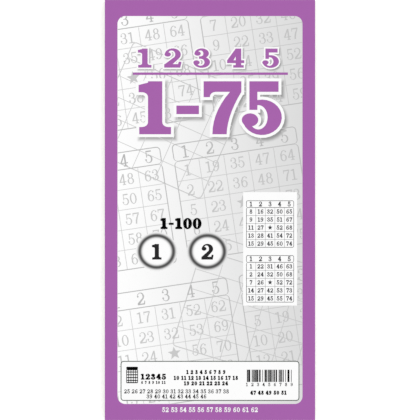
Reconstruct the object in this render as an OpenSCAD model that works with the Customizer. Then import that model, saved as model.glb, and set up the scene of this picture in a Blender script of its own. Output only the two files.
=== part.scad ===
// Tear-off pad of number cards for a table game.
// A printed cover and a hundred newsprint leaves lie on a grey board, and one film of
// padding glue along the head holds the edges of them all.
// Sizes are in millimetres. The pad lies on its back: X runs across it, +Y points to the
// glued head and +Z out of the cover. The origin is the middle of the underside.

/* [Leaves] */
// Width of the leaves, and of the cover and the board that are trimmed with them
leaf_w = 108; // [60:1:220]
// Length of the leaves from tail to head
leaf_l = 216; // [90:1:320]
// Thickness of one newsprint leaf
leaf_t = 0.066; // [0.05:0.002:0.12]
// Air between two neighbours in the pressed stack
leaf_gap = 0.014; // [0.004:0.002:0.04]

/* [Count] */
// Leaves at the top of the pad that are turned one by one
single_leaves = 10; // [1:1:20]
// Blocks of leaves below them, each turned as one
block_count = 9; // [1:1:18]
// Leaves in one block
block_leaves = 10; // [2:1:20]

/* [Cover and board] */
// Thickness of the coated paper cover
cover_t = 0.11; // [0.08:0.01:0.3]
// Thickness of the grey board under the leaves
board_t = 0.8; // [0.4:0.1:2]

/* [Glue] */
// Thickness of the glue film on the head
glue_t = 0.5; // [0.2:0.05:1.2]
// Rounding of the two outer edges of the film
glue_round = 0.2; // [0.05:0.01:0.4]

/* [Hidden] */
$fn = 48;
leaf_count = single_leaves + block_count * block_leaves;
pitch = leaf_t + leaf_gap;
cover_z = board_t + leaf_gap + leaf_count * pitch;
pad_t = cover_z + cover_t;
// The film of glue counts in the length, so the head lies this far from the middle
head_y = (leaf_l - glue_t) / 2;
// The rounding leaves at least half of the film flat
film_round = min(glue_round, glue_t / 2);

cover_colour = "#a665aa";
leaf_colour = "#e6e2d6";
board_colour = "#a59d90";
glue_colour = "#f0ede4";

// Leaves are counted from the cover down, and written with three figures
function figures(n) = str(n < 10 ? "00" : n < 100 ? "0" : "", n);
function leaf_name(i) = str("leaf_", figures(i));
function block_first(b) = single_leaves + (b - 1) * block_leaves + 1;
function block_last(b) = single_leaves + b * block_leaves;
function block_name(b) = str("leaves_", figures(block_first(b)), "_", figures(block_last(b)));
function leaf_z(i) = board_t + leaf_gap + (leaf_count - i) * pitch;

// One trimmed sheet, square at its four corners, with its head edge on the glue
module sheet(z, t) {
    translate([-leaf_w / 2, head_y - leaf_l, z]) cube([leaf_w, leaf_l, t]);
}

module front_cover() {
    color(cover_colour) sheet(cover_z, cover_t);
}

module leaf(i) {
    color(leaf_colour) sheet(leaf_z(i), leaf_t);
}

// Separate leaves that lie together
module leaf_block(b) {
    for (i = [block_first(b) : block_last(b)]) leaf(i);
}

module back_board() {
    color(board_colour) sheet(0, board_t);
}

// Section of the film: flat on the edges of the leaves, rounded along its outer edges
module film_section() {
    square([glue_t - film_round, pad_t]);
    translate([0, film_round]) square([glue_t, pad_t - 2 * film_round]);
    for (z = [film_round, pad_t - film_round])
        translate([glue_t - film_round, z]) circle(film_round);
}

module glue_strip() {
    color(glue_colour)
        translate([-leaf_w / 2, head_y, 0])
            rotate([90, 0, 90])
                linear_extrude(leaf_w) film_section();
}

front_cover();
for (i = [1 : single_leaves])
    leaf(i);
for (b = [1 : block_count])
    leaf_block(b);
back_board();
glue_strip();
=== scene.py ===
# Looks of the tear-off pad of number cards: printed cover, newsprint leaves, grey board and glue film
import math
import bmesh
import bpy
import numpy as np
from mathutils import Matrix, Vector
from mathutils.geometry import delaunay_2d_cdt


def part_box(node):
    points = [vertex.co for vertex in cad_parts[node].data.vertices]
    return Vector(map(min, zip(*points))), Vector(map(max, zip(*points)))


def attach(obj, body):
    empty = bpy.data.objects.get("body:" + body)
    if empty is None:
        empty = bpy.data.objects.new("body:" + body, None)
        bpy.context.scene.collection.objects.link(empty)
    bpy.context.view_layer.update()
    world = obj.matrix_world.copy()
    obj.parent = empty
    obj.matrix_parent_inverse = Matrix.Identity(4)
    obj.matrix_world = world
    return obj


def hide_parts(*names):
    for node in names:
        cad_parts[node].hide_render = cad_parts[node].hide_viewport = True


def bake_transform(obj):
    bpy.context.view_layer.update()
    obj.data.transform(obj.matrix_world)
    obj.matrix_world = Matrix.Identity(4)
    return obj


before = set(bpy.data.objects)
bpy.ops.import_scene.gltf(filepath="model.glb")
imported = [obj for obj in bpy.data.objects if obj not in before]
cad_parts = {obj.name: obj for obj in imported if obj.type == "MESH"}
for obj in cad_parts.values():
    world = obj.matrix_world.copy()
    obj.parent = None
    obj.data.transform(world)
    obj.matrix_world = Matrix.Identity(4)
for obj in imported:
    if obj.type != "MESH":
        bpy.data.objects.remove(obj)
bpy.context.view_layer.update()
mm = 0.001

# Places from the frame. Art on a sheet is laid out in millimetres: x from its middle, y up from its head
coverLow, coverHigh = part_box("front_cover")
headY = coverHigh.y
coverTop = coverHigh.z
sheetWidth = (coverHigh.x - coverLow.x) / mm
sheetLength = (coverHigh.y - coverLow.y) / mm
print("frame loaded:", len(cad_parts), "nodes, sheets of %.1f by %.1f mm" % (sheetWidth, sheetLength))


# Camera: straight down through a long lens, with the length of the sheet just overfilling the square frame
shot = dict(lens=250.0, sensor=36.0, fill=1.0015)


def setCamera():
    data = bpy.data.cameras.new("photoCamera")
    data.lens = shot["lens"]
    data.sensor_width = shot["sensor"]
    camera = bpy.data.objects.new("photoCamera", data)
    bpy.context.scene.collection.objects.link(camera)
    away = sheetLength * mm * shot["lens"] / shot["sensor"] / shot["fill"]
    camera.location = (0, headY - sheetLength * mm / 2, coverTop + away)
    bpy.context.scene.camera = camera


setCamera()
bpy.context.scene.view_settings.view_transform = "Standard"
print("camera set")


# Colours are written as the eye sees them, 0 to 255, and turned into the light they stand for
def light(shown):
    share = np.asarray(shown, float) / 255
    return np.where(share <= 0.04045, share / 12.92, ((share + 0.055) / 1.055) ** 2.4)


def colour(*shown):
    return (*light(shown).tolist(), 1.0)


def darkAndPale(shown, uneven):
    # the same colour with that share less light, and with that share more
    return [(*np.clip(light(shown) * share, 0, 1), 1) for share in (1 - uneven, 1 + uneven)]


def feed(tree, socket, value):
    # a link where the value is a wire, and else the socket's own number or colour
    if isinstance(value, Wire):
        tree.links.new(value.socket, socket)
    else:
        socket.default_value = value


class Wire:
    # one output socket; sums and products written on it add Math nodes
    def __init__(self, tree, socket):
        self.tree = tree
        self.socket = socket

    def maths(self, operation, first, second):
        node = self.tree.nodes.new("ShaderNodeMath")
        node.operation = operation
        feed(self.tree, node.inputs[0], first)
        feed(self.tree, node.inputs[1], second)
        return Wire(self.tree, node.outputs[0])

    def __add__(self, other):
        return self.maths("ADD", self, other)

    def __radd__(self, other):
        return self.maths("ADD", other, self)

    def __mul__(self, other):
        return self.maths("MULTIPLY", self, other)

    def __rmul__(self, other):
        return self.maths("MULTIPLY", other, self)

    def __gt__(self, other):
        return self.maths("GREATER_THAN", self, other)


class Finish:
    # a material with one Principled shader, whose plain sockets are set by name
    def __init__(self, name, **plain):
        self.material = bpy.data.materials.new(name)
        self.material.use_nodes = True
        self.tree = self.material.node_tree
        self.shader = self.tree.nodes["Principled BSDF"]
        self.drive(**plain)

    def node(self, kind, settings, sockets, output=0):
        made = self.tree.nodes.new(kind)
        for key, value in settings.items():
            setattr(made, key, value)
        for key, value in sockets.items():
            feed(self.tree, made.inputs[key], value)
        return Wire(self.tree, made.outputs[output])

    def drive(self, **sockets):
        # baseColor feeds the socket Base Color, and so on
        for key, value in sockets.items():
            words = "".join(" " + c if c.isupper() else c for c in key).title().replace("Ior", "IOR")
            feed(self.tree, self.shader.inputs[words], value)

    def place(self, uvName=None):
        if uvName:
            return self.node("ShaderNodeUVMap", dict(uv_map=uvName), {})
        return self.node("ShaderNodeTexCoord", {}, {}, "Object")

    def attribute(self, name):
        return self.node("ShaderNodeAttribute", dict(attribute_name=name), {}, "Fac")

    def noise(self, place, scale, detail=2.0, roughness=0.5):
        # the scale is a number, or one number for each direction
        if isinstance(scale, tuple):
            place = self.node("ShaderNodeVectorMath", dict(operation="MULTIPLY"), {0: place, 1: scale})
            scale = 1.0
        return self.node("ShaderNodeTexNoise", {}, {"Vector": place, "Scale": scale, "Detail": detail,
                                                    "Roughness": roughness})

    def mixed(self, share, first, second, blend="MIX"):
        settings = dict(data_type="RGBA", blend_type=blend)
        return self.node("ShaderNodeMix", settings, {0: share, 6: first, 7: second}, 2)

    def bump(self, height, depth):
        # depth is how far the surface rises, in millimetres, over a height of 1
        self.drive(normal=self.node("ShaderNodeBump", {}, {"Height": height, "Distance": depth * mm}))


# Studio: an even white sky with a soft sun nearly overhead, at a level where a colour shows as written.
# The floor and the sky are lifted to white for the camera alone
studio = dict(sky=0.80, sun=0.63, sunTurn=(-14, 10, 0), sunSpread=50, floorHalf=3.0, floorDrop=0.05,
              floorColour=(252, 252, 252), floorGlow=0.25)


def seenRays(tree):
    # 1 for the rays that show a thing to the camera, straight, mirrored or through glass
    path = tree.nodes.new("ShaderNodeLightPath")
    kinds = ("Is Camera Ray", "Is Glossy Ray", "Is Transmission Ray")
    return [Wire(tree, path.outputs[kind]) for kind in kinds]


def setStudio():
    world = bpy.data.worlds.new("studioSky")
    world.use_nodes = True
    sky = world.node_tree.nodes["Background"]
    sky.inputs["Color"].default_value = (1, 1, 1, 1)
    seen = sum(seenRays(world.node_tree))
    feed(world.node_tree, sky.inputs["Strength"], studio["sky"] + (1 - studio["sky"]) * seen)
    bpy.context.scene.world = world
    lamp = bpy.data.lights.new("softSun", "SUN")
    lamp.energy = studio["sun"]
    lamp.angle = math.radians(studio["sunSpread"])
    sun = bpy.data.objects.new("softSun", lamp)
    sun.rotation_euler = [math.radians(a) for a in studio["sunTurn"]]
    bpy.context.scene.collection.objects.link(sun)
    half, z = studio["floorHalf"], -studio["floorDrop"] * mm
    mesh = bpy.data.meshes.new("floor")
    corners = [(-half, -half, z), (half, -half, z), (half, half, z), (-half, half, z)]
    mesh.from_pydata(corners, [], [(0, 1, 2, 3)])
    paint = Finish("floorPaint", baseColor=colour(*studio["floorColour"]), roughness=1.0,
                   specularIorLevel=0.0, emissionStrength=studio["floorGlow"])
    paint.drive(emissionColor=sum(seenRays(paint.tree)))
    mesh.materials.append(paint.material)
    floor = bpy.data.objects.new("floor", mesh)
    bpy.context.scene.collection.objects.link(floor)


setStudio()
print("studio set")


# Finishes. Noise scales are per metre, and heights of bumps in millimetres
inks = dict(patches=700.0, detail=4.0)
coated = dict(gloss=0.22, uneven=0.03, mottle=160.0, detail=3.0, smooth=0.40, dull=0.16,
              tooth=2600.0, toothHeight=0.004)
toned = dict(gloss=0.20, palest=0.99, uneven=0.02, smooth=0.42, dull=0.14)


def inkFinish(name, shown, uneven=0.06, roughness=0.6, gloss=0.06):
    # printing ink: its colour, a little heavier and lighter in soft patches
    ink = Finish(name, roughness=roughness, specularIorLevel=gloss)
    patches = ink.noise(ink.place(), inks["patches"], inks["detail"])
    ink.drive(baseColor=ink.mixed(patches, *darkAndPale(shown, uneven)))
    return ink.material


def coatedFinish(name, shown, uvName=None):
    # smooth coated paper in one printed colour, with a faint mottle and a fine tooth.
    # A sheet's own map is one sheet long
    paper = Finish(name, specularIorLevel=coated["gloss"])
    place = paper.place(uvName)
    reach = sheetLength * mm if uvName else 1.0
    mottle = paper.noise(place, coated["mottle"] * reach, coated["detail"])
    paper.drive(baseColor=paper.mixed(mottle, *darkAndPale(shown, coated["uneven"])),
                roughness=coated["smooth"] + coated["dull"] * mottle)
    paper.bump(paper.noise(place, coated["tooth"] * reach), coated["toothHeight"])
    return paper.material


def toneFinish(name):
    # printed grey that the tone attribute gives at every point, on the same paper
    paper = Finish(name, specularIorLevel=toned["gloss"])
    mottle = paper.noise(paper.place(), coated["mottle"], coated["detail"])
    paper.drive(baseColor=paper.attribute("tone") * (toned["palest"] + toned["uneven"] * mottle),
                roughness=toned["smooth"] + toned["dull"] * mottle)
    paper.bump(paper.noise(paper.place(), coated["tooth"]), coated["toothHeight"])
    return paper.material


# edgeShade is the colour that the darkest leaf is multiplied by: partly a tone of its own, partly painted
# shade between leaves
pulp = dict(gloss=0.1, dark=(214, 208, 193), pale=(232, 228, 216), cloud=240.0, fleck=(150, 141, 124),
            fleckScale=(2600.0, 1100.0, 1100.0), fleckAbove=0.69, fleckShare=0.35,
            edgeShade=(0.72, 0.71, 0.69, 1), fibre=(900.0, 2600.0, 900.0), fibreHeight=0.010,
            smooth=0.82, dull=0.12)


def newsprintFinish():
    # warm grey pulp: cloudy, with short dark fibres; each whole leaf darker by a random share, partly its
    # own tone and partly painted shade that marks the lines between leaves at the edges
    paper = Finish("newsprint", specularIorLevel=pulp["gloss"])
    place = paper.place()
    cloud = paper.noise(place, pulp["cloud"], detail=5.0, roughness=0.62)
    fibres = paper.noise(place, pulp["fibre"], detail=3.0, roughness=0.7)
    flecks = paper.noise(place, pulp["fleckScale"], roughness=0.6) > pulp["fleckAbove"]
    sheet = paper.mixed(cloud, colour(*pulp["dark"]), colour(*pulp["pale"]))
    flecked = paper.mixed(flecks * pulp["fleckShare"], sheet, colour(*pulp["fleck"]))
    # painted shade: each leaf's random darkening stands partly for the shade between leaves on the pad's
    # sides
    shade = paper.mixed(paper.attribute("shade"), pulp["edgeShade"], (1, 1, 1, 1))
    paper.drive(baseColor=paper.mixed(1.0, flecked, shade, "MULTIPLY"),
                roughness=pulp["smooth"] + pulp["dull"] * fibres)
    paper.bump(fibres, pulp["fibreHeight"])
    return paper.material


wasteBoard = dict(gloss=0.12, dark=(136, 128, 115), pale=(182, 175, 162), cloud=130.0,
                  fibre=2100.0, fibreHeight=0.025, smooth=0.80, dull=0.15)

# Each kind of fleck: its noise, the level above which it shows, how strongly, and its colour
boardFlecks = (
    dict(scale=(1300, 520, 1300), detail=3.0, ragged=0.65, above=0.63, share=0.5, shown=(92, 86, 78)),
    dict(scale=(480, 1400, 1400), detail=3.0, ragged=0.65, above=0.62, share=0.55, shown=(208, 204, 194)),
    dict(scale=(620, 760, 900), detail=2.0, ragged=0.6, above=0.68, share=0.45, shown=(128, 98, 70)))


def boardFinish():
    # unlined grey board of waste paper: mottled, with dark, pale and brown flecks
    board = Finish("greyBoard", specularIorLevel=wasteBoard["gloss"])
    place = board.place()
    cloud = board.noise(place, wasteBoard["cloud"], detail=8.0, roughness=0.68)
    body = board.mixed(cloud, colour(*wasteBoard["dark"]), colour(*wasteBoard["pale"]))
    for kind in boardFlecks:
        flecks = board.noise(place, kind["scale"], kind["detail"], kind["ragged"]) > kind["above"]
        body = board.mixed(flecks * kind["share"], body, colour(*kind["shown"]))
    fibres = board.noise(place, wasteBoard["fibre"], detail=3.0, roughness=0.7)
    board.drive(baseColor=body, roughness=wasteBoard["smooth"] + wasteBoard["dull"] * fibres)
    board.bump(fibres, wasteBoard["fibreHeight"])
    return board.material


driedGlue = dict(gloss=0.45, dark=(232, 226, 208), pale=(246, 243, 232), cloud=180.0, coat=0.1,
                 moreCoat=0.2, coatRoughness=0.3, stroke=(60.0, 900.0, 900.0), strokeHeight=0.06,
                 smooth=0.30, dull=0.25)


def glueFinish():
    # dried padding glue: creamy, a little shiny, brushed on across the head
    glue = Finish("paddingGlue", specularIorLevel=driedGlue["gloss"],
                  coatRoughness=driedGlue["coatRoughness"])
    place = glue.place()
    strokes = glue.noise(place, driedGlue["stroke"], detail=4.0, roughness=0.6)
    cloud = glue.noise(place, driedGlue["cloud"], detail=3.0)
    glue.drive(baseColor=glue.mixed(cloud, colour(*driedGlue["dark"]), colour(*driedGlue["pale"])),
               roughness=driedGlue["smooth"] + driedGlue["dull"] * strokes,
               coatWeight=driedGlue["coat"] + driedGlue["moreCoat"] * cloud)
    glue.bump(strokes, driedGlue["strokeHeight"])
    return glue.material


purple = (164, 93, 169)
purplePaper = coatedFinish("purpleCoatedPaper", purple, "sheetMap")
plainPaper = coatedFinish("plainPaperBack", (244, 244, 242), "sheetMap")
purpleInk = coatedFinish("purpleInk", purple)
whiteInk = coatedFinish("bareWhitePaper", (254, 254, 254))
tonePaper = toneFinish("panelTone")
blackInk = inkFinish("blackInk", (2, 2, 2), gloss=0.015)
ringInk = inkFinish("ringInk", (36, 36, 37))
lineInk = inkFinish("lineInk", (96, 104, 97))
cardInk = inkFinish("cardInk", (58, 58, 62), uneven=0.2, roughness=0.8)
newsprint = newsprintFinish()
greyBoard = boardFinish()
paddingGlue = glueFinish()
print("finishes made")


# Meshes
sharpFrom = 40  # degrees between two faces


def addPiece(name, points, faces, materials, pick=None, values=None, uvMap=None):
    # points (n, 3) in metres and faces (m, 3) or (m, 4); pick is the material of each face,
    # and values and uvMap are a name with the numbers of every point
    mesh = bpy.data.meshes.new(name)
    corners = faces.shape[1]
    mesh.vertices.add(len(points))
    mesh.vertices.foreach_set("co", np.asarray(points, np.float32).ravel())
    mesh.loops.add(faces.size)
    mesh.loops.foreach_set("vertex_index", np.asarray(faces, np.int32).ravel())
    mesh.polygons.add(len(faces))
    mesh.polygons.foreach_set("loop_start", np.arange(0, faces.size, corners, dtype=np.int32))
    for material in materials:
        mesh.materials.append(material)
    if pick is not None:
        mesh.polygons.foreach_set("material_index", np.asarray(pick, np.int32))
    if values is not None:
        attribute = mesh.attributes.new(values[0], "FLOAT", "POINT")
        attribute.data.foreach_set("value", np.asarray(values[1], np.float32))
    if uvMap is not None:
        layer = mesh.uv_layers.new(name=uvMap[0])
        layer.data.foreach_set("uv", np.asarray(uvMap[1], np.float32)[faces.ravel()].ravel())
    mesh.update(calc_edges=True)
    mesh.set_sharp_from_angle(angle=math.radians(sharpFrom))
    piece = bpy.data.objects.new(name, mesh)
    bpy.context.scene.collection.objects.link(piece)
    return piece


def gridFaces(rows, columns):
    # the quads of a grid of points that is stored row by row
    i = np.arange(rows * columns).reshape(rows, columns)
    return np.stack((i[:-1, :-1], i[:-1, 1:], i[1:, 1:], i[1:, :-1]), axis=-1).reshape(-1, 4)


def gather(meshes):
    # several meshes as one: points stacked, and faces counted on
    starts = np.cumsum([0] + [len(points) for points, _ in meshes[:-1]])
    faces = [faces + start for (_, faces), start in zip(meshes, starts)]
    return np.vstack([points for points, _ in meshes]), np.vstack(faces)


def triangles(quads):
    # each quad cut along the diagonal from its first corner
    return np.vstack((quads[:, (0, 1, 2)], quads[:, (0, 2, 3)]))


# Heights of the printed layers over the sheet, in millimetres
layers = dict(panel=0.012, ghost=0.024, field=0.040, halo=0.040, line=0.056, figure=0.056)


def printOn(name, art, layer, material, tone=None, lift=0.0):
    # flat art on the cover, with a tone for every point and more height where they are given
    flat, faces = art
    height = np.full(len(flat), coverTop) + (layers[layer] + lift) * mm
    points = np.column_stack((flat[:, 0] * mm, headY + flat[:, 1] * mm, height))
    values = None if tone is None else ("tone", tone)
    piece = addPiece(name, points, faces, [material], values=values)
    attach(piece, "cover")
    return piece


# Figures: slab numerals drawn from strokes, in units of their height
def arc(cx, cy, rx, ry, start, stop, steps):
    # points of an ellipse between two angles in degrees
    turn = np.radians(np.linspace(start, stop, steps + 1))
    return np.column_stack((cx + rx * np.cos(turn), cy + ry * np.sin(turn)))


def slab(x0, y0, x1, y1):
    # the four corners of an upright box
    return np.array([(x0, y0), (x1, y0), (x1, y1), (x0, y1)], float)


def figureStrokes(thick, thin, steps, wide):
    # every figure as its width and the closed outlines that make it up, drawn upright and then widened
    ballRadius, filletRadius = 0.58 * thick, 0.42 * thick

    def bow(cx, cy, rx, ry, start, stop, lean=0):
        # a curved stroke between two ellipses: thin at the top and bottom, and thick at both sides
        # or at the one it leans to
        count = max(2, round(steps * (stop - start) / 180))
        left = thin if lean > 0 else thick
        right = thin if lean < 0 else thick
        outer = arc(cx, cy, rx, ry, start, stop, count)
        inner = arc(cx + (left - right) / 2, cy, rx - (left + right) / 2, ry - thin, stop, start, count)
        return np.vstack((outer, inner))

    def ring(cx, cy, rx, ry):
        # an ellipse in two halves
        return [bow(cx, cy, rx, ry, -90, 90), bow(cx, cy, rx, ry, 90, 270)]

    def ball(x, y, side=1):
        # a round terminal whose left or right side is at x
        return arc(x + side * ballRadius, y, ballRadius, ballRadius, 0, 360, max(8, 2 * steps))[:-1]

    def bracket(x, y, sideways, upward):
        # the hollow fillet in the corner at x, y between a stem and a bar
        facing = math.degrees(math.atan2(-upward, -sideways))
        hollow = arc(x + sideways * filletRadius, y + upward * filletRadius, filletRadius, filletRadius,
                     facing + 45, facing - 45, max(2, steps // 3))
        return np.vstack(([(x, y)], hollow))

    def sweep(first, pull, last):
        # a curve that leaves the first point towards the pull and comes to the last one from it
        t = np.linspace(0, 1, max(3, steps // 2) + 1)[:, None]
        return (1 - t) ** 2 * np.array(first) + 2 * t * (1 - t) * np.array(pull) + t ** 2 * np.array(last)

    half = thick / 2
    zero = ring(0.33, 0.5, 0.31, 0.51)
    left, right, foot, flag = 0.30 - half, 0.30 + half, 1.3 * thin, 0.93 - 1.3 * thin
    one = [slab(left, 0, right, 1.0), slab(0.06, 0, 0.54, foot), bracket(left, foot, -1, 1),
           bracket(right, foot, 1, 1), bracket(left, flag, -1, -1),
           np.array([(right, 1.0), (left, 0.975), (0.05, 0.93), (0.05, flag), (left, flag)])]
    over = bow(0.33, 0.69, 0.29, 0.32, -38, 174, 1)
    two = [over, ball(0.03, 0.695),
           np.array([over[0], over[-1], (0.02, 0.16), (0.02, 0.03), (0.10 + 0.8 * thick, 0.10)]),
           slab(0.02, 0, 0.60, 1.7 * thin),
           np.array([(0.46, 0), (0.60, 0), (0.645, 0.30), (0.645 - 0.9 * thin, 0.315), (0.52, 1.7 * thin)])]
    three = [bow(0.30, 0.745, 0.26, 0.265, -85, 176, 1), bow(0.30, 0.285, 0.30, 0.295, -176, 85, 1),
             ball(0.035, 0.74), ball(-0.005, 0.27),
             slab(0.20, min(0.5, 0.575 - thin), 0.34, 0.5 + 0.85 * thin)]
    stem = 0.43
    four = [slab(stem - half, 0, stem + half, 1.0), slab(0.02, 0.24, 0.64, 0.24 + 1.35 * thin),
            np.array([(stem, 1.0), (stem - half, 1.0), (0.02, 0.24 + 1.3 * thin), (0.02, 0.24),
                      (0.03 + 1.5 * thin, 0.26), (stem, 1.0 - 1.6 * thin)]),
            slab(stem - half - 0.09, 0, stem + half + 0.09, 1.2 * thin)]
    bar = 1 - 1.9 * thin
    five = [slab(0.11, bar, 0.55, 1.0), slab(0.11, 0.46, 0.11 + 1.15 * thin, 1.0),
            bow(0.30, 0.32, 0.30, 0.335, -172, 128, 1), ball(-0.005, 0.27)]
    six = ring(0.34, 0.315, 0.29, 0.325)
    six += [bow(0.40, 0.47, 0.35, 0.54, 50, 198, -1), ball(0.635, 0.845, -1)]
    outside = sweep((0.27 + half, 0), (0.28 + half, 0.36), (0.60, bar))
    inside = sweep((0.60 - 0.8 * thick, bar), (0.27 - half, 0.42), (0.27 - half, 0))
    seven = [slab(0.03, bar, 0.60, 1.0), slab(0.03, 0.70, 0.03 + 0.9 * thin, 1.0),
             bracket(0.03 + 0.9 * thin, bar, 1, -1),
             np.vstack((outside, [(0.60, 0.95), (0.5, 0.95)], inside))]
    eight = ring(0.33, 0.755, 0.255, 0.255) + ring(0.33, 0.285, 0.30, 0.295)
    nine = [(0.66, 1.0) - stroke for stroke in six]
    dash = [slab(0.05, 0.38, 0.39, 0.38 + 0.75 * thick)]
    drawn = {"0": (0.66, zero), "1": (0.58, one), "2": (0.66, two), "3": (0.62, three), "4": (0.66, four),
             "5": (0.62, five), "6": (0.66, six), "7": (0.62, seven), "8": (0.66, eight), "9": (0.66, nine),
             "-": (0.44, dash), " ": (0.30, [])}
    return {mark: (width * wide, [outline * (wide, 1) for outline in outlines])
            for mark, (width, outlines) in drawn.items()}


def grown(outline, by):
    # every corner of a closed outline moved out along its two edges' normals; a sharp one moves less
    ahead = np.roll(outline, -1, axis=0) - outline
    normal = np.column_stack((ahead[:, 1], -ahead[:, 0])) / np.maximum(np.hypot(*ahead.T), 1e-9)[:, None]
    before = np.roll(normal, 1, axis=0)
    spread = np.maximum(1 + (normal * before).sum(axis=1), 1)
    return outline + by * (normal + before) / spread[:, None]


def united(outlines, merge=1e-3):
    # overlapping outlines as one flat mesh of triangles; points nearer than the merge become one
    ends = np.cumsum([len(o) for o in outlines])
    faces = [list(range(end - len(o), end)) for o, end in zip(outlines, ends)]
    made = delaunay_2d_cdt([Vector(p) for p in np.vstack(outlines)], [], faces, 1, merge)
    inside = [face for face, came in zip(made[2], made[5]) if came]
    return np.array([p[:] for p in made[0]]), np.array(inside)


class Figures:
    # one cut of the numerals, with the flat mesh of each
    def __init__(self, thick, thin, steps, wide=1.0):
        self.strokes = figureStrokes(thick, thin, steps, wide)
        self.meshes = {mark: united(outlines) for mark, (_, outlines) in self.strokes.items() if outlines}

    def places(self, words, height, tracking):
        # each mark with its left end, for a line that is centred on 0
        widths = [self.strokes[mark][0] * height + tracking for mark in words]
        lefts = np.cumsum([0.0] + widths[:-1]) - (sum(widths) - tracking) / 2
        return list(zip(words, lefts))

    def line(self, words, x, y, height, tracking=0.0):
        # a line of figures centred on x, standing on y
        return [(self.meshes[mark][0] * height + (x + left, y), self.meshes[mark][1])
                for mark, left in self.places(words, height, tracking) if mark in self.meshes]

    def outlines(self, words, x, y, height, tracking=0.0, by=0.0):
        # the same line as closed outlines, each grown by that much
        return [grown(outline * height + (x + left, y), by)
                for mark, left in self.places(words, height, tracking) for outline in self.strokes[mark][1]]


boldFigures = Figures(thick=0.215, thin=0.105, steps=14, wide=1.25)
titleFigures = Figures(thick=0.20, thin=0.11, steps=12, wide=1.45)
cardFigures = Figures(thick=0.125, thin=0.058, steps=5)
pictureFigures = Figures(thick=0.185, thin=0.12, steps=5, wide=1.1)
noteFigures = Figures(thick=0.26, thin=0.185, steps=4, wide=1.05)
lightFigures = Figures(thick=0.17, thin=0.125, steps=4, wide=1.05)
heavyFigures = Figures(thick=0.25, thin=0.135, steps=10, wide=1.3)
print("figures cut")


# Flat shapes
def roundedLoop(x0, y0, x1, y1, radius, steps=6):
    # a box with a quarter of a circle at every corner
    corners = ((x1 - radius, y1 - radius, 0), (x0 + radius, y1 - radius, 90),
               (x0 + radius, y0 + radius, 180), (x1 - radius, y0 + radius, 270))
    return np.vstack([arc(cx, cy, radius, radius, a, a + 90, steps) for cx, cy, a in corners])


def frameStrip(x0, y0, x1, y1, radius, width, below=1.0, above=1.0):
    # a line of that width just inside a rounded box; its lower and upper stretch may be a share of it
    outer = roundedLoop(x0, y0, x1, y1, radius)
    inner = roundedLoop(x0 + width, y0 + width * below, x1 - width, y1 - width * above, radius - width)
    i = np.arange(len(outer))
    ahead = np.roll(i, -1)
    quads = np.column_stack((i, ahead, ahead + len(i), i + len(i)))
    return np.vstack((outer, inner)), triangles(quads)


def boxMesh(x0, y0, x1, y1):
    # an upright box as two triangles
    return slab(x0, y0, x1, y1), np.array([(0, 1, 2), (0, 2, 3)])


def discMesh(radii, spokes):
    # circles of points round a middle point; a fan joins the first of them to it
    turn = 2 * np.pi * np.arange(spokes) / spokes
    circles = np.stack((np.outer(radii, np.cos(turn)), np.outer(radii, np.sin(turn))), axis=-1)
    i = 1 + np.arange(len(radii) * spokes).reshape(len(radii), spokes)
    ahead = np.roll(i, -1, axis=1)
    fan = np.column_stack((np.zeros(spokes, int), i[0], ahead[0]))
    quads = np.stack((i[:-1], i[1:], ahead[1:], ahead[:-1]), axis=-1).reshape(-1, 4)
    return np.vstack(([(0.0, 0.0)], circles.reshape(-1, 2))), np.vstack((fan, triangles(quads)))


def starMesh(x, y, radius, waist=0.42, ends=5):
    # a plain star as a fan round its middle: its points at the full radius, the dips between at the waist
    i = np.arange(2 * ends)
    turn = np.radians(90 + 180 / ends * i)
    reach = radius * np.where(i % 2, waist, 1.0)
    rim = np.column_stack((x + reach * np.cos(turn), y + reach * np.sin(turn)))
    return np.vstack((rim, [(x, y)])), np.column_stack((i, np.roll(i, -1), np.full(2 * ends, 2 * ends)))


def moved(art, scale, turn, x, y, pivot=(0.0, 0.0)):
    # art scaled, both ways alike or apart, and turned about a point of its own that then lies at x, y
    a = math.radians(turn)
    spin = np.array([(math.cos(a), math.sin(a)), (-math.sin(a), math.cos(a))])
    return (art[0] - pivot) * scale @ spin + (x, y), art[1]


# One number card, drawn at the size it has on a leaf, from its top left corner
card = dict(width=95.6, head=13.4, row=15.24, radius=3.2, figure=8.4, figureGap=0.5, headFigure=9.4,
            star=5.2, cells=5, perColumn=15)
cells = card["cells"]
cardColumn = card["width"] / cells
cardFoot = -card["head"] - cells * card["row"]


def cardNumbers(rng):
    # each column draws five of its own fifteen numbers and sets them in order
    own = card["perColumn"]
    draws = [np.sort(rng.choice(own, cells, replace=False)) + 1 + c * own for c in range(cells)]
    return np.array(draws).T


def cardFrames(width):
    # head band and body: two rounded boxes, each with half of the line between them
    right, head, radius = card["width"], -card["head"], card["radius"]
    return gather([frameStrip(0, head, right, 0, radius, width, below=0.5),
                   frameStrip(0, cardFoot, right, head, radius, width, above=0.5)])


def cardRules(width, edge):
    # uprights and cross lines, which stop at the frame and at each other
    half = width / 2
    parts = [boxMesh(c * cardColumn - half, cardFoot + edge, c * cardColumn + half, -card["head"] - edge)
             for c in range(1, cells)]
    for r in range(1, cells):
        y = -card["head"] - r * card["row"]
        for c in range(cells):
            left = c * cardColumn + (half if c else edge)
            right = (c + 1) * cardColumn - (half if c < cells - 1 else edge)
            parts.append(boxMesh(left, y - half, right, y + half))
    return gather(parts)


def cardHeads(cut):
    # the columns are headed 1 to 5
    foot = -(card["head"] + card["headFigure"]) / 2
    return gather([m for c in range(cells)
                   for m in cut.line(str(c + 1), (c + 0.5) * cardColumn, foot, card["headFigure"])])


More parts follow.
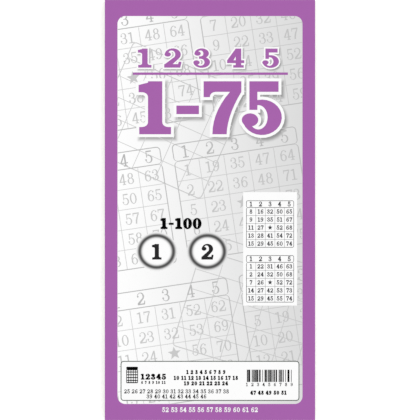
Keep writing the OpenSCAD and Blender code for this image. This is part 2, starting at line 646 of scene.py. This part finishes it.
def cardBody(cut, rng):
    # the drawn numbers in their cells, and a star in the free one in the middle
    numbers = cardNumbers(rng)
    parts = []
    for r in range(cells):
        y = -card["head"] - (r + 0.5) * card["row"]
        for c in range(cells):
            x = (c + 0.5) * cardColumn
            if r == c == cells // 2:
                parts.append(starMesh(x, y, card["star"]))
            else:
                foot = y - card["figure"] / 2
                parts += cut.line(str(numbers[r, c]), x, foot, card["figure"], card["figureGap"])
    return gather(parts)


# Cover sheet: a thin closed slab, finely divided along the head, where a real cover bends when it is turned
# back
coverSheet = dict(bend=7.5, bendRows=18, restRows=12, columns=9)


def makeCoverSheet():
    # two grids, one over the other, with a wall of quads round their rim
    bend = coverSheet["bend"]
    down = np.concatenate((np.linspace(0, bend, coverSheet["bendRows"], endpoint=False),
                           np.linspace(bend, sheetLength, coverSheet["restRows"])))
    across = np.linspace(-sheetWidth / 2, sheetWidth / 2, coverSheet["columns"])
    x, d = np.meshgrid(across, down)
    flat = np.column_stack((x.ravel() * mm, headY - d.ravel() * mm))
    count = len(flat)
    points = np.vstack([np.column_stack((flat, np.full(count, z))) for z in (coverHigh.z, coverLow.z)])
    quads = gridFaces(*x.shape)
    i = np.arange(count).reshape(x.shape)
    rim = np.concatenate((i[0, :], i[1:, -1], i[-1, -2::-1], i[-2:0:-1, 0]))
    ahead = np.roll(rim, -1)
    walls = np.column_stack((rim, ahead, ahead + count, rim + count))
    faces = np.vstack((quads[:, ::-1], quads + count, walls))
    pick = np.repeat((0, 1), (len(quads), len(quads) + len(walls)))
    uv = np.tile(np.column_stack((x.ravel() / sheetLength + 0.5, 1 - d.ravel() / sheetLength)), (2, 1))
    piece = addPiece("coverSheet", points, faces, [purplePaper, plainPaper], pick, uvMap=("sheetMap", uv))
    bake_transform(piece)
    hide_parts("front_cover")


makeCoverSheet()
print("cover sheet made")


# Printed panel: its box, and the grey that falls off to the right. Rows are close where the shadows lie
panel = dict(half=47.5, top=-8.4, foot=-207.6, radius=4.0, columns=226, cornerRows=12, plainRows=6,
             shadowRows=130, shadowTop=-22.0, shadowFoot=-76.0)
panelGreys = dict(left=(-44.0, 254.0), middle=(-35.0, 251.5), right=(47.0, 219.5))

# What casts a shadow on the panel. A figure's y is the line that it stands on
titleRow = dict(words="12345", centres=(-33.6, -19.1, -4.1, 13.2, 31.3), height=9.8, y=-34.9, halo=0.75)
bigRange = dict(words="1-75", x=-0.4, y=-69.1, height=27.2, tracking=-0.3, halo=1.5)
titleShadow = dict(shift=(0.6, -0.7), soft=0.7, depth=0.58)
bigShadow = dict(shift=(1.2, -1.5), soft=1.4, depth=0.60)


def panelShown(x):
    # the panel's grey at that place across it
    return np.interp(x, *zip(*panelGreys.values()))


def edgeDistance(outline, points):
    # distance of each point from a closed outline, negative inside it
    ahead = np.roll(outline, -1, axis=0) - outline
    away = points[:, None, :] - outline
    share = np.clip((away * ahead).sum(-1) / np.maximum((ahead ** 2).sum(-1), 1e-12), 0, 1)
    gap = np.sqrt(((away - share[..., None] * ahead) ** 2).sum(-1).min(axis=1))
    above = away[..., 1] < 0
    crossing = above != np.roll(above, -1, axis=1)
    slope = np.where(ahead[:, 1] == 0, 1e-9, ahead[:, 1])
    right = away[..., 0] < ahead[:, 0] * away[..., 1] / slope
    inside = (crossing & right).sum(axis=1) % 2 == 1
    return np.where(inside, -gap, gap)


def castShadow(points, outlines, shift, soft, depth):
    # how dark a soft shadow of the outlines is at each point: a smooth step over the distance from them
    far = np.full(len(points), np.inf)
    for outline in outlines:
        low, high = outline.min(axis=0) + shift - 2 * soft, outline.max(axis=0) + shift + 2 * soft
        near = ((points > low) & (points < high)).all(axis=1)
        far[near] = np.minimum(far[near], edgeDistance(outline + shift, points[near]))
    share = np.clip(0.5 - far / (2 * soft), 0, 1)
    return depth * share * share * (3 - 2 * share)


def titleOutlines(by):
    marks = zip(titleRow["words"], titleRow["centres"])
    return [outline for mark, x in marks
            for outline in titleFigures.outlines(mark, x, titleRow["y"], titleRow["height"], by=by)]


def bigOutlines(by):
    return boldFigures.outlines(bigRange["words"], bigRange["x"], bigRange["y"], bigRange["height"],
                                bigRange["tracking"], by)


def makePanel():
    # a grid whose rows draw in along the rounded corners, with the printed tone at every point
    radius = panel["radius"]
    bend = radius * (1 - np.cos(np.linspace(0, np.pi / 2, panel["cornerRows"], endpoint=False)))
    tall = panel["top"] - panel["foot"]
    start, stop = panel["top"] - panel["shadowTop"], panel["top"] - panel["shadowFoot"]
    down = np.concatenate((bend, np.linspace(radius, start, panel["plainRows"], endpoint=False),
                           np.linspace(start, stop, panel["shadowRows"], endpoint=False),
                           np.linspace(stop, tall - radius, panel["plainRows"]), (tall - bend)[::-1]))
    inset = np.minimum(down, tall - down)
    drawn = radius - np.sqrt(np.maximum(radius ** 2 - np.maximum(radius - inset, 0) ** 2, 0))
    share = np.linspace(-1, 1, panel["columns"])
    x = (panel["half"] - drawn)[:, None] * share
    y = np.repeat((panel["top"] - down)[:, None], len(share), axis=1)
    points = np.column_stack((x.ravel(), y.ravel()))
    tone = light(panelShown(points[:, 0]))
    tone *= 1 - castShadow(points, titleOutlines(titleRow["halo"]), **titleShadow)
    tone *= 1 - castShadow(points, bigOutlines(bigRange["halo"]), **bigShadow)
    printOn("coverPanel", (points, gridFaces(*x.shape)[:, ::-1]), "panel", tonePaper, tone)


makePanel()
print("panel made")


# Pale cards behind everything: a tilted lattice of whole cards, and two bare ones that lie across it.
# Each print has a shown grey, and its ink grows paler to the right. The lifts keep crossing lines apart
ghost = dict(scale=0.675, line=0.72, rule=0.5, tilt=8.5, pitch=(70.5, 71.5), stagger=24.0,
             middle=(16.5, -99.5), rows=(-2, 3), columns=(-1, 2), lift=0.0006, seed=41,
             across=((-22.0, -62.0, -24.0), (20.0, -158.0, -17.0)), acrossLift=-0.006,
             frameTone=193, headTone=190, figureTone=206, ruleTone=214, acrossTone=209,
             strongLeft=(-42.0, 1.08), weakRight=(45.0, 0.65))
panelCut = dict(inset=0.15, merge=1e-8, sliver=0.002)


def clipToPanel(piece):
    # cuts away what lies past the panel's sides and corners
    flat = bmesh.new()
    flat.from_mesh(piece.data)
    inset = panelCut["inset"]
    x, top, foot = panel["half"] - inset, panel["top"] - inset, panel["foot"] + inset
    corner = panel["radius"] * (1 - math.sqrt(0.5))
    sides = [((x, top), (1, 0)), ((-x, top), (-1, 0)), ((x, top), (0, 1)), ((x, foot), (0, -1))]
    sides += [((sx * (x - corner), y - sy * corner), (sx, sy))
              for sx in (-1, 1) for y, sy in ((top, 1), (foot, -1))]
    for (px, py), (nx, ny) in sides:
        everything = flat.verts[:] + flat.edges[:] + flat.faces[:]
        bmesh.ops.bisect_plane(flat, geom=everything, dist=panelCut["merge"], clear_outer=True,
                               plane_co=(px * mm, headY + py * mm, 0), plane_no=(nx, ny, 0))
    bmesh.ops.dissolve_degenerate(flat, dist=panelCut["sliver"] * mm, edges=flat.edges[:])
    bmesh.ops.triangulate(flat, faces=flat.faces[:])
    flat.to_mesh(piece.data)
    flat.free()


def makeGhostCards():
    # every card of the lattice as its frames, rules, heads and numbers, and then the two across it
    rng = np.random.default_rng(ghost["seed"])
    whole = (card["width"] / 2, cardFoot / 2)
    tilt = math.radians(ghost["tilt"])
    parts, tones, lifts = [], [], []

    def lay(art, turn, x, y, lift, shown):
        # one print of a card: the panel's own tone less the ink
        flat, tris = moved(art, ghost["scale"], turn, x, y, whole)
        ink = (1 - light(shown)) * np.interp(flat[:, 0], *zip(ghost["strongLeft"], ghost["weakRight"]))
        parts.append((flat, tris))
        tones.append((1 - ink) * light(panelShown(flat[:, 0])))
        lifts.append(np.full(len(flat), lift))

    for j in range(*ghost["rows"]):
        for i in range(*ghost["columns"]):
            u = i * ghost["pitch"][0] + (j % 2) * ghost["stagger"]
            v = j * ghost["pitch"][1]
            x = ghost["middle"][0] + u * math.cos(tilt) - v * math.sin(tilt)
            y = ghost["middle"][1] + u * math.sin(tilt) + v * math.cos(tilt)
            place = (ghost["tilt"], x, y, (3 * j + i) * ghost["lift"])  # each card at its own height
            lay(cardFrames(ghost["line"]), *place, ghost["frameTone"])
            lay(cardRules(ghost["rule"], ghost["line"]), *place, ghost["ruleTone"])
            lay(cardHeads(cardFigures), *place, ghost["headTone"])
            lay(cardBody(cardFigures, rng), *place, ghost["figureTone"])
    for x, y, turn in ghost["across"]:
        place = (turn, x, y, ghost["acrossLift"])
        lay(cardFrames(ghost["line"]), *place, ghost["acrossTone"])
        lay(cardRules(ghost["rule"], ghost["line"]), *place, ghost["acrossTone"])
    clipToPanel(printOn("ghostCards", gather(parts), "ghost", tonePaper, np.concatenate(tones),
                        np.concatenate(lifts)))


makeGhostCards()
print("ghost cards made")


# Title figures, their rule and the big range, each on a white halo
titleRule = dict(x0=-39.6, x1=40.0, y=-38.0, thick=1.22)


def makeTitle():
    printOn("titleHalo", united(titleOutlines(titleRow["halo"])), "halo", whiteInk)
    printOn("titleFigures", united(titleOutlines(0)), "figure", purpleInk)
    printOn("rangeHalo", united(bigOutlines(bigRange["halo"])), "halo", whiteInk)
    printOn("rangeFigures", united(bigOutlines(0)), "figure", purpleInk)
    half = titleRule["thick"] / 2
    rule = boxMesh(titleRule["x0"], titleRule["y"] - half, titleRule["x1"], titleRule["y"] + half)
    printOn("titleRule", rule, "line", purpleInk)


makeTitle()
print("title made")


# Two rings with soft dark edges round a plain 1 and 2, under the count of the leaves
rings = dict(centres=(-27.4, -1.3), y=-129.3, stroke=8.48, stretch=(1.025, 0.963), soft=0.68,
             reach=(2.3, 1.9), circles=25, spokes=96, dark=66.0, inside=254.0, height=8.0, drop=0.15)
leafCount = dict(words="1-100", x=-15.0, y=-117.8, height=5.7, tracking=0.0)


def makeRings():
    # the stroke is a bell curve across the radius, darkest in the middle
    inward, outward = rings["reach"]
    radii = rings["stroke"] + np.linspace(-inward, outward, rings["circles"])
    disc, discFaces = discMesh(radii, rings["spokes"])
    off = np.hypot(*disc.T) - rings["stroke"]
    ink = np.exp(-0.5 * (off / rings["soft"]) ** 2)
    parts, tones, figures = [], [], []
    foot = rings["y"] - rings["height"] / 2 - rings["drop"]
    for n, x in enumerate(rings["centres"]):
        flat = disc * rings["stretch"] + (x, rings["y"])
        ground = np.where(off < 0, rings["inside"], panelShown(flat[:, 0]))
        parts.append((flat, discFaces))
        tones.append(light(ground + (rings["dark"] - ground) * ink))
        figures += boldFigures.line(str(n + 1), x, foot, rings["height"])
    printOn("numberRings", gather(parts), "field", tonePaper, np.concatenate(tones))
    printOn("ringFigures", gather(figures), "figure", ringInk)
    printOn("leafCountFigures", gather(heavyFigures.line(**leafCount)), "figure", blackInk)


makeRings()
print("rings made")


# Picture of one leaf on the panel: white paper with its two cards
leafArt = dict(margin=6.2, firstTop=16.0, between=14.7, line=0.45, rule=0.3)
picture = dict(x0=17.0, x1=44.7, top=-98.8, foot=-157.1, line=0.95, rule=0.5, seed=7)


def leafCards(cut, rng, line, rule):
    # the two cards of a leaf, one under the other, from the leaf's top left corner
    first = -leafArt["firstTop"]
    tops = (first, first + cardFoot - leafArt["between"])
    arts = [moved(art, 1, 0, leafArt["margin"], top) for top in tops
            for art in (cardFrames(line), cardRules(rule, line), cardHeads(cut), cardBody(cut, rng))]
    return gather(arts)


def makePicture():
    rng = np.random.default_rng(picture["seed"])
    x0, x1, top, foot = (picture[side] for side in ("x0", "x1", "top", "foot"))
    printOn("leafPicture", boxMesh(x0, foot, x1, top), "field", whiteInk)
    art = leafCards(pictureFigures, rng, picture["line"], picture["rule"])
    scale = ((x1 - x0) / sheetWidth, (top - foot) / sheetLength)
    printOn("leafPictureCards", moved(art, scale, 0, x0, top), "line", cardInk)


makePicture()
print("leaf picture made")


# Label box at the foot: rows of running numbers, bars and a bare card in a thin frame.
# A row has its middle, the line that it stands on, and its first and last number
label = dict(x0=-45.9, x1=45.9, top=-185.5, foot=-206.0, radius=1.6, line=0.45,
             textHeight=2.15, tracking=0.12)
boldRows = ((-2.1, -192.3, 1, 9), (-2.1, -195.3, 10, 18), (-2.1, -198.1, 19, 24), (30.0, -202.9, 47, 51))
lightRows = ((-17.2, -202.2, 25, 38), (-17.2, -204.8, 39, 46))
bars = dict(x0=19.0, x1=42.1, top=-190.0, foot=-196.3, modules=105, widths=(1, 1, 1, 2, 2, 3, 4),
            gain=0.2, seed=12)
barDigits = dict(words="1 2 3 4 5 6 7 8 9", x=30.5, y=-198.5, height=1.8, tracking=0.55)
blankCard = dict(x=-43.0, top=-188.5, scale=(0.063, 0.094), line=5.5, radius=6.5)
cardNote = dict(words="12345", x=-29.1, y=-195.1, height=3.0, tracking=0.25)
cardNoteRow = dict(words="6 7 8 9 10 11", x=-29.1, y=-197.3, height=1.5, tracking=0.2)
footRow = dict(first=52, last=62, x=0.0, y=-211.8, height=2.5, tracking=0.15)


def runningNumbers(first, last):
    return " ".join(str(n) for n in range(first, last + 1))


def labelLines(cut, rows):
    return [m for x, y, first, last in rows
            for m in cut.line(runningNumbers(first, last), x, y, label["textHeight"], label["tracking"])]


def barStrips():
    # bars and gaps of 1 to 4 modules in a random order that stands for no number.
    # Ink makes a bar a little wider
    widths = np.random.default_rng(bars["seed"]).choice(bars["widths"], bars["modules"])
    widths = widths[np.cumsum(widths) <= bars["modules"]]
    module = (bars["x1"] - bars["x0"]) / widths.sum()
    gain = bars["gain"] * module
    rights = bars["x0"] + np.cumsum(widths) * module
    lefts = rights - widths * module
    return [boxMesh(left - gain, bars["foot"], right + gain, bars["top"])
            for left, right in zip(lefts[::2], rights[::2])]


def bareCard():
    # a filled head band over a frame with empty cells
    wide, head, line, radius = card["width"], -card["head"], blankCard["line"], blankCard["radius"]
    band = united([roundedLoop(0, head, wide, 0, radius)])
    return gather([band, frameStrip(0, cardFoot, wide, head, radius, line), cardRules(line, line)])


def makeLabel():
    box = (label["x0"], label["foot"], label["x1"], label["top"], label["radius"])
    printOn("labelField", united([roundedLoop(*box)]), "field", whiteInk)
    printOn("labelFrame", frameStrip(*box, label["line"]), "line", lineInk)
    rows = labelLines(noteFigures, boldRows) + labelLines(lightFigures, lightRows)
    printOn("labelNumbers", gather(rows), "line", blackInk)
    printOn("labelBars", gather(barStrips() + lightFigures.line(**barDigits)), "line", blackInk)
    blank = moved(bareCard(), blankCard["scale"], 0, blankCard["x"], blankCard["top"])
    printOn("labelBlankCard", blank, "line", blackInk)
    notes = heavyFigures.line(**cardNote) + noteFigures.line(**cardNoteRow)
    printOn("labelFigures", gather(notes), "line", blackInk)
    words = runningNumbers(footRow["first"], footRow["last"])
    foot = lightFigures.line(words, footRow["x"], footRow["y"], footRow["height"], footRow["tracking"])
    printOn("footNumbers", gather(foot), "line", whiteInk)


makeLabel()
print("label made")


# Leaves: thin sheets that meet the glue at the head, slip a little and have slightly wavy trimmed edges
leaves = dict(inset=0.10, slip=0.05, wave=0.018, waves=7, waveTurns=(2, 12), sideSteps=30, tailSteps=16,
              printHeight=0.007, seed=100)


def trimWave(rng, along):
    # a sum of slow sines along an edge, from two to a dozen to its length
    turns = rng.uniform(*leaves["waveTurns"], leaves["waves"])
    phase = rng.uniform(0, 2 * np.pi, leaves["waves"])
    return leaves["wave"] * mm * np.sin(2 * np.pi * turns[:, None] * along + phase[:, None]).sum(axis=0)


def closedSlab(outline, bottom, top):
    # an outline filled at two heights, with a wall all round
    flat, inner = united([outline], 1e-6)
    count = len(outline)
    points = np.vstack([np.column_stack((flat, np.full(count, z))) for z in (top, bottom)])
    rim = np.arange(count)
    ahead = np.roll(rim, -1)
    walls = np.column_stack((rim, rim + count, ahead + count, ahead))
    return points, np.vstack((inner, inner[:, ::-1] + count, triangles(walls)))


def leafSheet(rng, low, high, bottom, top):
    # the outline goes along the wavy tail, up one wavy side, over the straight head and down the other side
    v, u = np.linspace(0, 1, leaves["sideSteps"] + 1), np.linspace(0, 1, leaves["tailSteps"] + 1)
    slip = rng.normal(0, leaves["slip"] * mm, 2)
    inset = leaves["inset"] * mm
    left = low.x + inset + slip[0] + trimWave(rng, v)
    right = high.x - inset + slip[0] + trimWave(rng, v)
    tail = low.y + inset + abs(slip[1]) + trimWave(rng, u)
    tailEdge = np.column_stack((left[0] + (right[0] - left[0]) * u, tail))
    rightEdge = np.column_stack((right, tail[-1] + (high.y - tail[-1]) * v))
    leftEdge = np.column_stack((left, tail[0] + (high.y - tail[0]) * v))
    return closedSlab(np.vstack((tailEdge, rightEdge[1:], leftEdge[:0:-1])), bottom, top)


def makeLeaves():
    # a node's name ends in the number of its last leaf; its top leaf carries the print
    rng = np.random.default_rng(leaves["seed"])
    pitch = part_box("leaf_001")[0].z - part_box("leaf_002")[0].z
    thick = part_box("leaf_001")[1].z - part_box("leaf_001")[0].z
    for name in sorted(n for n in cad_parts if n.startswith(("leaf_", "leaves_"))):
        kind, first, last = name.split("_")[0], name.split("_")[1], name.split("_")[-1]
        count = int(last) - int(first) + 1
        low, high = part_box(name)
        tops = high.z - pitch * np.arange(count)
        points, faces = gather([leafSheet(rng, low, high, top - thick, top) for top in tops])
        # painted shade: a random darkness for each leaf, partly its tone and partly the shade lines between
        # leaves at the edges
        shade = np.repeat(rng.uniform(0, 1, count), len(points) // count)
        title = name.replace(kind, "leafPile" if kind == "leaves" else "leafSheet")
        pile = addPiece(title, points, faces, [newsprint], values=("shade", shade))
        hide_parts(name)
        art = leafCards(cardFigures, rng, leafArt["line"], leafArt["rule"])
        height = np.full(len(art[0]), high.z + leaves["printHeight"] * mm)
        flat = np.column_stack(((art[0][:, 0] - sheetWidth / 2) * mm, headY + art[0][:, 1] * mm, height))
        printed = addPiece("leafPrint_" + first, flat, art[1], [cardInk])
        for piece in (pile, printed):
            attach(piece, name)


makeLeaves()
print("leaves made")


# Board: it keeps its own solid
def dressBoard():
    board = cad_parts["back_board"]
    board.data.materials.clear()
    board.data.materials.append(greyBoard)


# Glue film: brushed on, so a little uneven
film = dict(along=120, round=0.2, roundSteps=5, flatSteps=6, ripple=0.07, waves=9, waveTurns=(20, 240),
            waveReach=(108.0, 40.0), seed=5)


def makeGlueFilm():
    # a section, flat on the leaves and rounded outside, carried across the head; a sum of sines over its
    # length and height draws it in
    low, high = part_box("glue_strip")
    depth, tall = (high.y - low.y) / mm, (high.z - low.z) / mm
    corner, steps, flat = film["round"], film["roundSteps"], film["flatSteps"]
    upright = np.linspace(corner, tall - corner, flat + 2)[1:-1]
    section = np.vstack(([(0.0, 0.0)], arc(depth - corner, corner, corner, corner, -90, 0, steps),
                         np.column_stack((np.full(flat, depth), upright)),
                         arc(depth - corner, tall - corner, corner, corner, 0, 90, steps), [(0.0, tall)]))
    rng = np.random.default_rng(film["seed"])
    turns = rng.uniform(*film["waveTurns"], (film["waves"], 2))
    phases = rng.uniform(0, 2 * np.pi, film["waves"])
    x, z = np.meshgrid(np.linspace(low.x, high.x, film["along"]) / mm, section[:, 1], indexing="ij")
    reachX, reachZ = film["waveReach"]
    sines = [np.sin(kx * x / reachX + kz * z / reachZ + phase) for (kx, kz), phase in zip(turns, phases)]
    ripple = sum(sines) / film["waves"]
    y = section[:, 0] * (1 - film["ripple"] + film["ripple"] * ripple)
    points = np.column_stack((x.ravel() * mm, low.y + y.ravel() * mm, low.z + z.ravel() * mm))
    i = np.arange(x.size).reshape(x.shape)
    ahead = np.roll(i, -1, axis=1)
    walls = np.stack((i[:-1], ahead[:-1], ahead[1:], i[1:]), axis=-1).reshape(-1, 4)
    fan = np.arange(1, len(section) - 1)
    first, last = i[0], i[-1]
    ends = np.vstack((np.column_stack((np.full(len(fan), first[0]), first[fan + 1], first[fan])),
                      np.column_stack((np.full(len(fan), last[0]), last[fan], last[fan + 1]))))
    piece = addPiece("glueFilm", points, np.vstack((triangles(walls), ends)), [paddingGlue])
    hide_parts("glue_strip")
    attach(piece, "pad_base")


dressBoard()
makeGlueFilm()
print("board and glue dressed")
